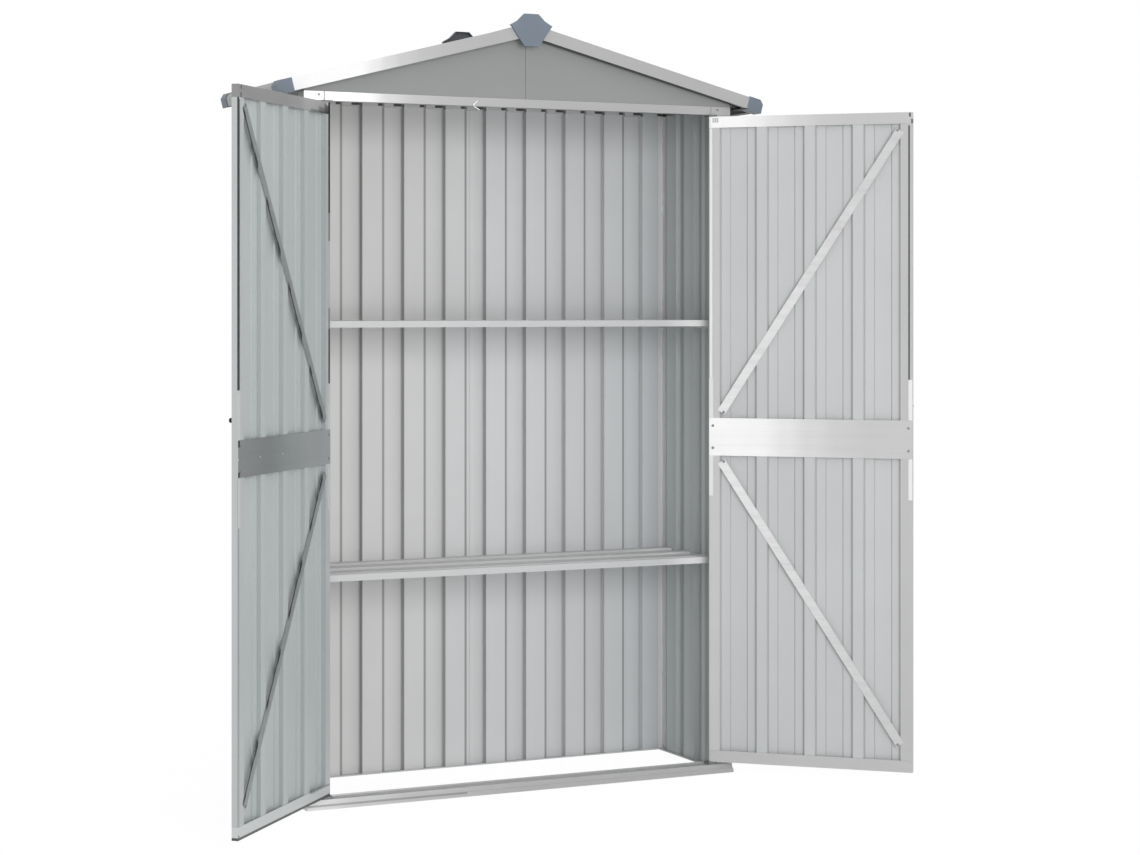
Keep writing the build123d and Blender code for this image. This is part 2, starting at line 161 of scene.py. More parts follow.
def vector_math(tree, operation, *values):
    return place(tree, "ShaderNodeVectorMath", dict(enumerate(values)), operation=operation).outputs[0]


def mapped(tree, where, **settings):
    """Place that is moved, turned or scaled by a Mapping node."""
    return place(tree, "ShaderNodeMapping", {"Vector": where, **settings}).outputs[0]


def x_of(tree, where):
    return place(tree, "ShaderNodeSeparateXYZ", {0: where}).outputs["X"]


def in_object(tree, output="Object"):
    return place(tree, "ShaderNodeTexCoord").outputs[output]


def use(tree, group, inputs):
    """Puts a shared effect into a finish and returns its outputs."""
    return place(tree, "ShaderNodeGroup", inputs, node_tree=group).outputs


def new_group(name, inputs, outputs):
    """Empty shader group with named sockets; returns its tree, its inputs and its output node."""
    tree = bpy.data.node_groups.new(name, "ShaderNodeTree")
    for label, (kind, value) in inputs.items():
        socket = tree.interface.new_socket(label, in_out="INPUT", socket_type="NodeSocket" + kind)
        socket.default_value = value
    for label, kind in outputs.items():
        tree.interface.new_socket(label, in_out="OUTPUT", socket_type="NodeSocket" + kind)
    return tree, tree.nodes.new("NodeGroupInput").outputs, tree.nodes.new("NodeGroupOutput")


# Effects shared by several finishes
def make_coat_grain():
    """Baked enamel: slow mottling, fine orange peel, and a roughness that drifts a little."""
    fleck_coarseness = 0.3
    fleck_strength = 0.10
    mottle_grey = grey(70)
    fleck_grey = grey(238)
    tree, given, result = new_group(
        "coat_grain",
        {"Colour": ("Color", grey(200)), "Mottle": ("Float", 0.06), "Mottle Scale": ("Float", 3.0),
         "Peel Scale": ("Float", 900.0), "Roughness": ("Float", 0.4), "Drift": ("Float", 0.1)},
        {"Colour": "Color", "Roughness": "Float", "Height": "Float"})
    where = in_object(tree)
    slow = noise(tree, where, given["Mottle Scale"], 3.0, 0.55)
    peel = noise(tree, where, given["Peel Scale"], 1.0)
    fleck_scale = sums(tree, "MULTIPLY", given["Peel Scale"], fleck_coarseness)
    fleck = noise(tree, where, fleck_scale, 2.0, 0.7)
    depth = sums(tree, "MULTIPLY", ranged(tree, slow, 0.35, 0.65), given["Mottle"])
    shade = tinted(tree, depth, given["Colour"], mottle_grey, "MULTIPLY")
    shade = tinted(tree, ranged(tree, fleck, 0.6, 0.78, 0.0, fleck_strength), shade, fleck_grey)
    drift = sums(tree, "SUBTRACT", slow, 0.5)
    rough = sums(tree, "MULTIPLY_ADD", drift, given["Drift"], given["Roughness"])
    tree.links.new(shade, result.inputs["Colour"])
    tree.links.new(rough, result.inputs["Roughness"])
    tree.links.new(peel, result.inputs["Height"])
    return tree


def make_facing():
    """1 on faces that look along a direction by more than a limit, which parts the two sides of a sheet."""
    tree, given, result = new_group(
        "facing", {"Direction": ("Vector", upward), "Limit": ("Float", 0.02)}, {"Mask": "Float"})
    along = place(tree, "ShaderNodeVectorMath", {0: in_object(tree, "Normal"), 1: given["Direction"]},
                  operation="DOT_PRODUCT").outputs["Value"]
    tree.links.new(sums(tree, "GREATER_THAN", along, given["Limit"]), result.inputs["Mask"])
    return tree


def make_rib_band():
    """Soft-edged band that recurs with a pitch along X of the place that it is given."""
    tree, given, result = new_group(
        "rib_band",
        {"Place": ("Vector", origin), "First": ("Float", 0.0), "Pitch": ("Float", 0.1),
         "Start": ("Float", 0.01), "End": ("Float", 0.02), "Soft": ("Float", 0.002)},
        {"Mask": "Float"})
    from_first = sums(tree, "SUBTRACT", x_of(tree, given["Place"]), given["First"])
    share = sums(tree, "FRACT", sums(tree, "DIVIDE", from_first, given["Pitch"]))
    along = sums(tree, "MULTIPLY", share, given["Pitch"])
    rise = ranged(tree, along, sums(tree, "SUBTRACT", given["Start"], given["Soft"]), given["Start"])
    fall = ranged(tree, along, given["End"], sums(tree, "ADD", given["End"], given["Soft"]), 1.0, 0.0)
    tree.links.new(sums(tree, "MULTIPLY", rise, fall), result.inputs["Mask"])
    return tree


def make_soft_box():
    """1 inside a box of the place that it is given, with a soft edge inwards."""
    tree, given, result = new_group(
        "soft_box",
        {"Place": ("Vector", origin), "Low": ("Vector", origin),
         "High": ("Vector", (1.0, 1.0, 1.0)), "Soft": ("Float", 0.0005)},
        {"Mask": "Float"})
    from_low = vector_math(tree, "SUBTRACT", given["Place"], given["Low"])
    to_high = vector_math(tree, "SUBTRACT", given["High"], given["Place"])
    nearest = vector_math(tree, "MINIMUM", from_low, to_high)
    inside = place(tree, "ShaderNodeSeparateXYZ", {0: nearest}).outputs
    least = sums(tree, "MINIMUM", sums(tree, "MINIMUM", inside["X"], inside["Y"]), inside["Z"])
    tree.links.new(ranged(tree, least, 0.0, given["Soft"]), result.inputs["Mask"])
    return tree


def make_rolled_streaks():
    """Rolled metal: long fine streaks along X of the place that it is given, and broader bands."""
    band_coarseness = 0.12
    tree, given, result = new_group(
        "rolled_streaks",
        {"Place": ("Vector", origin), "Fine Scale": ("Float", 500.0), "Stretch": ("Float", 0.015)},
        {"Streaks": "Float", "Bands": "Float"})
    squeeze = place(tree, "ShaderNodeCombineXYZ", {0: given["Stretch"], 1: 1.0, 2: 1.0}).outputs[0]
    along = vector_math(tree, "MULTIPLY", given["Place"], squeeze)
    tree.links.new(noise(tree, along, given["Fine Scale"], 2.0), result.inputs["Streaks"])
    band_scale = sums(tree, "MULTIPLY", given["Fine Scale"], band_coarseness)
    tree.links.new(noise(tree, along, band_scale, 3.0, 0.6), result.inputs["Bands"])
    return tree


coat_grain = make_coat_grain()
facing = make_facing()
rib_band = make_rib_band()
soft_box = make_soft_box()
rolled_streaks = make_rolled_streaks()


# Masks of a coat's layers, each a function of the material's tree and of the place in it
def looking(direction, limit=0.02):
    return lambda tree, at: use(tree, facing, {"Direction": direction, "Limit": limit})["Mask"]


def banded(first, pitch, start, end, soft):
    """1 from start to end after each pitch, eased in before the start and out after the end."""
    sizes = {"First": first, "Pitch": pitch, "Start": start, "End": end, "Soft": soft}
    return lambda tree, at: use(tree, rib_band, {"Place": at, **sizes})["Mask"]


def boxed(x=whole, y=whole, z=whole, soft=0.0004):
    """1 inside the spans, with a soft edge inwards."""
    low, high = zip(x, y, z)
    sizes = {"Low": low, "High": high, "Soft": soft}
    return lambda tree, at: use(tree, soft_box, {"Place": at, **sizes})["Mask"]


def beside(start, end, low, high):
    """1 between two distances from a slanting line, whose ends are given as X and Z."""
    angle = math.atan2(end[1] - start[1], end[0] - start[0])
    shift = Matrix.Rotation(angle, 3, "Y") @ Vector((-start[0], 0.0, -start[1]))
    band = boxed(z=(low, high), soft=0.0008)
    return lambda tree, at: band(tree, mapped(tree, at, Location=shift, Rotation=(0.0, angle, 0.0)))


def spots(tone, strength, soft, places, y=whole, mask=None):
    """Layers that mark places with one tone, each place given as its spans of X and Z."""
    masks = (mask,) if mask else ()
    return [(tone, strength, *masks, boxed(x, y, z, soft)) for x, z in places]


def graded(span, stops):
    """Colour that follows X of the place through a few stops, each a share of the span and a colour."""
    def build(tree, at):
        inputs = {"Value": x_of(tree, at), "From Min": span[0], "From Max": span[1]}
        ramp = place(tree, "ShaderNodeValToRGB", {0: place(tree, "ShaderNodeMapRange", inputs).outputs[0]})
        ramp.color_ramp.interpolation = "EASE"
        points = ramp.color_ramp.elements
        while len(points) < len(stops):
            points.new(0.5)
        for point, (position, colour) in zip(points, stops):
            point.position = position
            point.color = colour
        return ramp.outputs[0]
    return build


def greys(span, *stops):
    """The same in greys, each stop a share of the span and a level."""
    return graded(span, [(share, grey(level)) for share, level in stops])


# Places that coats follow
def depthways(tree):
    """Object coordinates turned so that X runs into the shed."""
    return mapped(tree, in_object(tree), Rotation=(0.0, 0.0, -math.pi / 2))


def door_turn(side):
    """Matrix that takes a point of the closed door to its place at rest."""
    hinge = Vector((ways[side] * hinge_x, hinge_y, 0.0))
    return Matrix.Translation(hinge) @ Matrix.Rotation(openings[side], 4, "Z") @ Matrix.Translation(-hinge)


def door_way(side, direction):
    """Direction on the right-hand closed door, as it points on the open door of a side."""
    closed = Vector((ways[side] * direction[0], direction[1], direction[2]))
    return tuple(door_turn(side).to_3x3() @ closed)


def on_door(side):
    """Function that builds the closed door's coordinates, with X from its free edge to its hinge."""
    shift = door_turn(side).inverted().to_translation()

    def build(tree):
        turned = mapped(tree, in_object(tree), Location=shift, Rotation=(0.0, 0.0, -openings[side]))
        return mapped(tree, turned, Scale=(ways[side], 1.0, 1.0))
    return build


def coloured(tree, at, tone):
    return tone(tree, at) if callable(tone) else tone


def painted(tree, at, base, layers):
    """Colour built up from a base tone and layers, each a tone, a strength and the masks that bound it."""
    colour = coloured(tree, at, base)
    for tone, strength, *masks in layers:
        share = strength
        for mask in masks:
            share = sums(tree, "MULTIPLY", mask(tree, at), share)
        colour = tinted(tree, share, colour, coloured(tree, at, tone))
    return colour


# Finishes
def new_finish(name, **sockets):
    """Material with a Principled shader whose plain sockets are set; returns it, its tree and the shader."""
    material = bpy.data.materials.new(name)
    material.use_nodes = True
    tree = material.node_tree
    shader = tree.nodes["Principled BSDF"]
    for label, value in sockets.items():
        shader.inputs[label.replace("_", " ")].default_value = value
    return material, tree, shader


def finished(tree, shader, colour, roughness, height, bump_depth):
    """Links a finish's colour, roughness and fine relief to its shader."""
    bump = place(tree, "ShaderNodeBump", {"Height": height, "Distance": bump_depth, "Strength": 0.3})
    tree.links.new(colour, shader.inputs["Base Color"])
    tree.links.new(roughness, shader.inputs["Roughness"])
    tree.links.new(bump.outputs[0], shader.inputs["Normal"])


def enamel(name, base, layers=(), where=in_object, roughness=0.42, mottle=0.04, metallic=0.0):
    """Painted sheet: a base tone, layers of other tones, and the grain of a baked coat."""
    material, tree, shader = new_finish(name, Metallic=metallic)
    colour = painted(tree, where(tree), base, layers)
    coat = use(tree, coat_grain, {"Colour": colour, "Roughness": roughness, "Mottle": mottle})
    finished(tree, shader, coat["Colour"], coat["Roughness"], coat["Height"], 0.0001)
    return material


def zinc(name, base, layers=(), where=in_object, roughness=0.42, metallic=0.1, streak=0.10):
    """Galvanised strip with rolling streaks along X of its place."""
    streak_grey = grey(90)
    rough_swing = 0.15
    material, tree, shader = new_finish(name, Metallic=metallic)
    at = where(tree)
    lines = use(tree, rolled_streaks, {"Place": at})
    coat = use(tree, coat_grain, {"Colour": painted(tree, at, base, layers), "Roughness": roughness,
                                  "Mottle Scale": 7.0, "Mottle": 0.04})
    bands = ranged(tree, lines["Bands"], 0.4, 0.7, 0.0, streak)
    streaks = ranged(tree, lines["Streaks"], 0.5, 0.8, 0.0, streak)
    tone = tinted(tree, bands, coat["Colour"], streak_grey, "MULTIPLY")
    tone = tinted(tree, streaks, tone, streak_grey, "MULTIPLY")
    swing = sums(tree, "SUBTRACT", lines["Streaks"], 0.5)
    rough = sums(tree, "MULTIPLY_ADD", swing, rough_swing, coat["Roughness"])
    finished(tree, shader, tone, rough, lines["Streaks"], 0.0001)
    return material


def moulded(name, base, layers=(), roughness=0.45):
    """Moulded plastic with a fine matt grain."""
    material, tree, shader = new_finish(name)
    colour = painted(tree, in_object(tree), base, layers)
    coat = use(tree, coat_grain, {"Colour": colour, "Roughness": roughness, "Mottle": 0.10,
                                  "Mottle Scale": 14.0, "Peel Scale": 1800.0})
    finished(tree, shader, coat["Colour"], coat["Roughness"], coat["Height"], 0.0002)
    return material


def dressed(material, *names):
    for name in names:
        slots = nodes[name].data.materials
        slots.clear()
        slots.append(material)


# Walls: ribbed, pale inside with shades and dark lines at the folds, and one grey outside
back_inner = graded(across_wall, [(0.0, lin(221, 220, 219)), (0.6, lin(219, 220, 221)),
                                  (0.85, lin(214, 216, 218)), (1.0, lin(200, 204, 206))])
# Painted shade on the ribs' left-facing webs, deepest at the wall's left
back_web_shades = greys(across_wall, (0.0, 164), (0.5, 186), (1.0, 214))


def dress_back_wall():
    """Painted shade that deepens towards each rib's left foot and lies on its left-facing web, a painted
    shadow line at its right, and painted light on the right edge against the corner's shade.
    """
    wide_shade = 0.034
    close_shade = 0.007
    line = (crest_end - 0.0012, crest_end + 0.0080)
    right_edge = (0.507, 0.530)
    edge_fold = 0.330
    layers = [(dark, strength, banded(back_first, back_pitch, back_pitch, back_pitch, reach))
              for strength, reach in ((0.12, wide_shade), (0.40, close_shade))]
    layers += [(dark, 0.55, banded(back_first, back_pitch, *line, 0.0012)),
               (back_web_shades, 1.0, looking(leftward, 0.5)),
               (grey(222), 1.0, boxed(right_edge, (0.30, edge_fold), soft=0.001)),
               (white, 1.0, boxed(right_edge, (edge_fold, 0.40), soft=0.001)),
               (outer_coat, 1.0, looking(backward))]
    dressed(enamel("back_wall_coat", back_inner, layers, roughness=0.48),
            "back_wall_left", "back_wall_right")


def dress_side_wall(side, tone):
    """Painted shadow lines and shades at the ribs' folds, painted light at the rear end against the corner's
    shade, and painted shade behind the jamb at the front end, with X into the shed.
    """
    rib_shadow_line = (side_pitch - 0.004, side_pitch)
    rib_shade = (0.0, 0.026)
    flat_shade = (0.033, 0.048)
    front_shade = (0.078, 0.098)
    rear_light = (0.2985, 0.342)
    layers = [(dark, 0.35, banded(side_far_edge, side_pitch, *rib_shadow_line, 0.002)),
              (dark, 0.25, banded(side_far_edge, side_pitch, *rib_shade, 0.002)),
              (dark, 0.08, banded(side_far_edge, side_pitch, *flat_shade, 0.02)),
              (white, 1.0, boxed(rear_light, soft=0.001)),
              (dark, 0.28, boxed(front_shade, soft=0.004)),
              (outer_coat, 1.0, looking((ways[side], 0.0, 0.0)))]
    dressed(enamel(side + "_wall_coat", tone, layers, depthways, 0.48), side + "_wall")


def dress_roof(side):
    """Pale grey above, with painted shade below."""
    below = (-ways[side] * math.sin(roof_pitch), 0.0, -math.cos(roof_pitch))
    dressed(enamel(side + "_roof_coat", lin(158, 161, 160), [(underside_shade, 1.0, looking(below))]),
            "roof_sheet_" + side)


dress_back_wall()
dress_side_wall("left", lin(206, 208, 208))
dress_side_wall("right", lin(209, 214, 214))
for side in ways:
    dress_roof(side)

# Doors: ribbed panels in channel frames, with plates and braces of bare zinc
# Each door has its own copy of one finish's tones, lighter or darker as painted light and painted shade,
# mostly darker on the left door
panel_tones = {"left": lin(196, 202, 202), "right": lin(207, 209, 210)}
# Painted shade on the panels' rib sides, and the strength of the painted shade lines at their folds
web_shades = {"left": lin(170, 178, 178), "right": grey(204)}
fold_shade_strength = {"left": 0.14, "right": 0.22}
stile_tones = {"left": lin(195, 198, 199),
               "right": greys(across_door, (0.0, 199), (0.3, 199), (0.7, 212), (1.0, 212))}
strip_tones = {"left": grey(210), "right": grey(244)}
low_rail_tones = {
    "left": graded(across_door, [(0.0, lin(212, 215, 215)), (0.46, lin(214, 217, 217)),
                                 (1.0, lin(206, 209, 210))]),
    "right": greys(across_door, (0.0, 190), (1.0, 193))}
# The upper rails and plates carry painted reflections; on the right door they brighten towards the hinge
high_rail_reflections = {
    "left": greys(across_door, (0.0, 148), (0.45, 154), (0.62, 162), (0.75, 180), (1.0, 166)),
    "right": greys(across_door, (0.0, 194), (0.30, 196), (0.42, 201), (0.55, 212), (0.66, 226),
                   (0.78, 243), (0.86, 252), (1.0, 255))}
rail_metal = {"left": 0.0, "right": 0.6}
plate_reflections = {
    "left": graded(across_door, [(0.0, lin(142, 144, 144)), (0.3, lin(130, 135, 135)),
                                 (0.6, lin(152, 157, 158)), (0.8, lin(162, 166, 167)),
                                 (1.0, lin(168, 172, 173))]),
    "right": greys(across_door, (0.0, 196), (0.2, 199), (0.35, 206), (0.5, 218), (0.62, 234),
                   (0.75, 249), (1.0, 255))}
plate_metal = {"left": 0.1, "right": 0.65}
# The left braces are darker as painted shade; the right ones carry a painted reflection that brightens
# towards the hinge
brace_light_and_shade = {"left": lin(150, 157, 157), "right": greys(across_door, (0.0, 214), (1.0, 246))}

# Sizes of the doors' marks. A skin is the lowest Y of a mark on the inner side, which keeps it from
# showing on the outer side.
slit_high = 1.513
hinge_bead_high = 1.51
half_height = 0.8
hinge_bead = 0.4712
past_hinge = 0.490
rail_skin = -0.009
bead_skin = -0.0045
slit_skin = -0.0038
bracket_notch = ((0.4585, 0.4735), (1.5225, 1.5345))


def dress_panel(side):
    """Painted shade on the rib sides and in lines at the folds, painted shade in the slit beside the free
    edge's bead, and a painted highlight in the right door's slit beside its hinge bead.
    """
    slit = (0.0072, 0.0140)
    hinge_slit_highlight = (0.4730, 0.4770)
    spill = 0.001
    # Painted shade lines at the folds: start, end and share of the strength of each
    folds = ((bay_crest - 0.0004, bay_crest + bay_web + spill, 1.3), (0.0, 0.0006, 0.8),
             (bay - bay_web - spill, bay, 0.8), (pan_low, pan_low + bay_web, 0.4),
             (pan_high - bay_web, pan_high, 0.7))
    inward = looking(door_way(side, backward), 0.5)
    layers = [(web_shades[side], 1.0, looking(door_way(side, (way, 0.0, 0.0)), 0.5)) for way in (-1.0, 1.0)]
    layers += [(fold_shade_grey, fold_shade_strength[side] * share, banded(door_free, bay, start, end, 0.001))
               for start, end, share in folds]
    layers += spots(black, 0.82, 0.0005, [(slit, (strip_high, slit_high))], mask=inward)
    if side == "right":
        layers += spots(white, 1.0, 0.0005, [(hinge_slit_highlight, (strip_high, hinge_bead_high))], mask=inward)
    layers.append((outer_coat, 1.0, looking(door_way(side, frontward), 0.05)))
    dressed(enamel(side + "_panel_coat", panel_tones[side], layers, on_door(side)), side + "_door_panel")


def left_rail_marks():
    """Slots at the free end, painted shade under the bracket and the lug there, a painted shadow line at the
    hinge end, and the lower rail's painted shade near the hinge and its dark free corner and bottom edge.
    """
    slots = [((0.0145, 0.0195), (1.500, 1.5215)), ((0.0150, 0.0200), (1.527, 1.536))]
    wide_shade = [((0.372, past_hinge), (1.508, 1.518))]
    near_shade = [((0.415, past_hinge), (1.500, 1.527))]
    bracket_shade = [((0.448, 0.495), (1.490, 1.534))]
    lug = [((0.462, 0.4735), (1.5290, 1.5385))]
    hinge_shadow_line = [((hinge_bead, past_hinge), (1.490, 1.545))]
    low_shade = [((0.370, past_hinge), (0.049, 0.060))]
    low_corner = [((door_free, 0.0085), (0.0, 0.038))]
    low_edge = [((0.0, past_hinge), (0.0, 0.033))]
    inner = (rail_skin, far)
    return (spots(black, 1.0, 0.001, slots) + spots(dark, 0.65, 0.005, wide_shade, inner)
            + spots(dark, 0.55, 0.007, near_shade, inner) + spots(dark, 0.70, 0.006, bracket_shade, inner)
            + spots(grey(214), 0.8, 0.001, lug, inner)
            + spots(black, 1.0, 0.0005, hinge_shadow_line, (bead_skin, far))
            + spots(dark, 0.55, 0.002, low_shade) + spots(black, 0.9, 0.001, low_corner)
            + spots(dark, 0.95, 0.001, low_edge))


def right_rail_marks():
    """Two slots at the free end, a notch with three slots beside the hinge, and a painted shadow line at the
    hinge end.
    """
    slots = [((0.0060, 0.0112), (1.526, 1.536)), ((0.0020, 0.0062), (1.511, 1.522))]
    end_shadow_line = [((0.478, 0.4805), (1.513, 1.533))]
    slot_pitch = 0.0055
    notch_slots = banded(bracket_notch[0][0], slot_pitch, 0.0015, 0.003, 0.001)
    return (spots(dark, 0.9, 0.001, slots) + spots(grey(196), 0.6, 0.001, [bracket_notch])
            + spots(dark, 0.40, 0.001, end_shadow_line)
            + spots(dark, 0.35, 0.001, [bracket_notch], mask=notch_slots))


def dress_rails(side):
    marks = left_rail_marks() if side == "left" else right_rail_marks()
    layers = [(high_rail_reflections[side], 1.0, boxed(z=(half_height, far)))] + marks
    dressed(enamel(side + "_rail_coat", low_rail_tones[side], layers, on_door(side), 0.38,
                   metallic=rail_metal[side]), side + "_door_rails")


def dress_stiles(side):
    """Painted shade on the slit's floor, painted shadow lines on the left door's beads with painted shade
    low on its free edge, and a painted highlight on the right door's hinge bead.
    """
    slit_floor_shade = boxed(y=(door_outer - 0.001, door_outer + 0.004))
    inward = looking(door_way(side, backward), 0.5)
    bead_shadow_lines = ((1.295, 1.545, 1.0), (1.235, 1.295, 0.6), (1.045, 1.090, 0.5), (0.880, 1.045, 0.9))
    free_slit = [((0.0, 0.0079), (strip_high, 1.515))]
    free_shade = [((0.0, 0.0090), (0.0, 0.75))]
    bead_highlight = [((0.4735, 0.4795), (strip_high, hinge_bead_high))]
    marks = [(black, 1.0, slit_floor_shade, inward)]
    if side == "left":
        for low, high, strength in bead_shadow_lines:
            bead = [((hinge_bead, past_hinge), (low, high))]
            marks += spots(black, strength, 0.0005, bead, (bead_skin, far))
        marks += spots(black, 1.0, 0.0004, free_slit, (slit_skin, far))
        marks += spots(dark, 0.35, 0.0010, free_shade, (slit_skin, far))
    else:
        marks += spots(white, 1.0, 0.001, bead_highlight)
    dressed(enamel(side + "_stile_coat", stile_tones[side], marks, on_door(side), 0.38),
            side + "_door_hinge_stile", side + "_door_free_stile")


def dress_strips(side):
    dressed(enamel(side + "_strip_coat", strip_tones[side], roughness=0.36), side + "_door_edge_strips")


def left_plate_marks():
    """Three pale dots as painted glints of rivet heads, and two notches at the free edge."""
    rivet = 0.004
    rivet_low = 0.785
    rivet_glints = [((x, x + rivet), (rivet_low, rivet_low + rivet)) for x in (0.0003, 0.1075, 0.221)]
    notch = (0.0, 0.010)
    notches = [(notch, (0.811, plate_high["left"])), (notch, (plate_low["left"], 0.762))]
    return spots(grey(250), 0.7, 0.0008, rivet_glints) + spots(black, 1.0, 0.001, notches)


def left_brace_marks():
    """Painted black shadow along each brace's edge that faces the plate, where it stands off the panel's
    pans.
    """
    brace_edge = 0.012
    stretches = ((0.025, 0.094, 0.0058), (0.025, 0.035, 0.0035), (0.083, 0.094, 0.0035))
    marks = []
    for (hinge_z, free_z), way in zip(brace_ends, (1, -1)):
        for start, end, from_middle in stretches:
            reach = sorted((way * from_middle, way * brace_edge))
            edge = beside((brace_hinge, hinge_z), (brace_free, free_z), *reach)
            marks.append((black, 0.85, edge, banded(door_free, bay, start, end, 0.003)))
    return marks


def dress_zinc(side):
    """Plate and braces, with their painted reflections and streaks that run along the closed door."""
    plate_marks = left_plate_marks() if side == "left" else []
    brace_marks = left_brace_marks() if side == "left" else []
    dressed(zinc(side + "_plate_zinc", plate_reflections[side], plate_marks, on_door(side),
                 metallic=plate_metal[side], streak=0.05), side + "_door_mid_plate")
    dressed(zinc(side + "_brace_zinc", brace_light_and_shade[side], brace_marks, on_door(side)), side + "_door_braces")


for side in ways:
    dress_panel(side)
    dress_rails(side)
    dress_stiles(side)
    dress_strips(side)
    dress_zinc(side)


# Base, top frame, roof trims, shelves and small parts
def dress_header():
    """A painted reflection that makes it bright at its left end, with a dark line at each corner piece."""
    tones = greys(across_shed, (0.0, 252), (0.105, 249), (0.14, 226), (0.19, 196), (0.25, 180), (0.34, 175),
                  (0.5, 173), (0.8, 174), (1.0, 182))
    left_joint = (-0.4830, -0.4800)
    right_joint = (0.4760, 0.4775)
    layers = [(dark, 0.8, boxed(left_joint)), (dark, 0.2, boxed(right_joint))]
    dressed(enamel("header_coat", tones, layers, roughness=0.36, metallic=0.6),
            "front_header", "header_corners")


def dress_sill():
    """A painted reflection that brightens the left end, painted light on the tread, painted shade lines at
    the ramp's folds on the left, and a painted shadow line along the back of the step.
    """
    tones = greys(across_shed, (0.0, 240), (0.12, 212), (0.25, 196), (0.5, 182), (1.0, 180))
    tread = greys(across_shed, (0.0, 214), (0.5, 204), (1.0, 200))
    ramp_left = (-far, -0.15)
    ramp_fold_shades = ((-0.0190, -0.0150), (-0.0110, -0.0060))
    step_back = (0.0275, 0.0310)
    step_high = 0.024
    layers = [(tread, 1.0, looking(upward, 0.8))]
    layers += [(fold_shade_grey, 0.5, boxed(ramp_left, fold, soft=0.001)) for fold in ramp_fold_shades]
    layers.append((grey(80), 0.5, boxed(y=step_back, z=(-far, step_high), soft=0.0006)))
    dressed(enamel("sill_coat", tones, layers, roughness=0.40), "front_sill")


def dress_verges():
    """Trims with painted shade on their undersides; the front ones have a painted reflection that makes them
    bright at the left end.
    """
    tones = greys(across_roof, (0.0, 255), (0.16, 255), (0.19, 238), (0.215, 220), (0.245, 204), (0.29, 192),
                  (0.36, 185), (0.5, 181), (1.0, 180))
    below = [(underside_shade, 1.0, looking(downward, 0.9))]
    dressed(enamel("verge_coat", tones, below, roughness=0.40), "front_verge_trims")
    dressed(enamel("trim_coat", lin(190, 192, 191), below),
            "rear_verge_trims", "eave_trims", "ridge_strip", "side_top_rails")


def dress_frame():
    """Rails, posts and jambs; the right jamb's coat is a little darker as painted shade, with deeper painted
    shade beside its fold.
    """
    dressed(enamel("frame_coat", inner_coat), "back_top_rail", "rear_corner_posts", "back_bottom_rail",
            "side_bottom_rails", "shelf_cleats")
    dressed(enamel("left_jamb_coat", inner_coat), "left_jamb")
    dressed(enamel("right_jamb_coat", lin(202, 206, 206), [(dark, 0.35, boxed((0.470, 0.487), soft=0.003))]),
            "right_jamb")


def dress_gables():
    """A seam between the front halves, and the shade of the right verge trim under its lower edge."""
    seam = (-0.0012, 0.0012)
    trim_peak = (0.0, 1.7049)
    trim_foot = (0.5, 1.5773)
    right_half = (0.02, far)
    layers = [(grey(96), 0.5, boxed(seam, front, soft=0.0008)),
              (dark, 0.65, beside(trim_peak, trim_foot, -0.0035, 0.0060), boxed(right_half, front))]
    dressed(enamel("gable_coat", lin(148, 151, 149), layers, roughness=0.5),
            "front_gable_left", "front_gable_right", "rear_gable_halves")


def dress_shelves():
    """Pale on top, and a painted light that brightens the right of the front lip."""
    tones = graded(across_shed, [(0.0, lin(208, 209, 209)), (1.0, lin(197, 199, 201))])
    lip_light = boxed((0.36, far), soft=0.12)
    layers = [(grey(216), 1.0, looking(upward, 0.5)), (grey(236), 1.0, looking(frontward, 0.5), lip_light)]
    dressed(enamel("shelf_coat", tones, layers), "lower_shelf", "upper_shelf")


def dress_small_parts():
    # Painted shade on the rear ridge cap's faces that look to the front, into the roof
    rear_cap_shade = boxed((-0.2, 0.2), (0.25, far))
    dressed(moulded("cap_plastic", lin(118, 129, 142), [
        (grey(70), 0.8, rear_cap_shade, looking(frontward, 0.5))]), "ridge_caps", "eave_corner_caps")
    dressed(zinc("hinge_zinc", lin(118, 121, 123), roughness=0.38, metallic=0.35), "hinge_brackets",
            "hinge_bushes", "left_door_hinge_pins", "right_door_hinge_pins")
    dressed(moulded("knob_plastic", lin(26, 27, 29)), "left_door_knob", "right_door_knob")


dress_header()
dress_sill()
dress_verges()
dress_frame()
dress_gables()
dress_shelves()
dress_small_parts()


# Pieces that are only looks
def kept(name, mesh, body, material=None):
    """Object of a finished mesh in shed coordinates, riding on a body, with its slot of the record."""
    if material:
        mesh.materials.append(material)
    piece = bpy.data.objects.new(name, mesh)
    bpy.context.collection.objects.link(piece)
    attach(piece, body)


def plain_mesh(source, name):
    """Mesh that a source object has once its modifiers are applied; the source is removed."""
    graph = bpy.context.evaluated_depsgraph_get()
    mesh = bpy.data.meshes.new_from_object(source.evaluated_get(graph))
    mesh.name = name
    bpy.data.objects.remove(source)
    return mesh


def bent_strip(name, lengths, bevel=0.0, along="Y"):
    """Mesh of closed outlines with a start and an end along Y, as X and Z, or along X, as Y and Z."""
    shape = bmesh.new()
    for outline, start, end in lengths:
        near, away = [[shape.verts.new((across, depth, z) if along == "Y" else (depth, across, z))
                       for across, z in outline] for depth in (start, end)]
        shape.faces.new(near)
        shape.faces.new(away[::-1])
        for i, vert in enumerate(near):
            follower = (i + 1) % len(near)
            shape.faces.new((vert, away[i], away[follower], near[follower]))
    bmesh.ops.recalc_face_normals(shape, faces=shape.faces)
    if bevel:
        bmesh.ops.bevel(shape, geom=shape.edges, offset=bevel, segments=2, affect="EDGES")
    mesh = bpy.data.meshes.new(name)
    shape.to_mesh(mesh)
    shape.free()
    return mesh


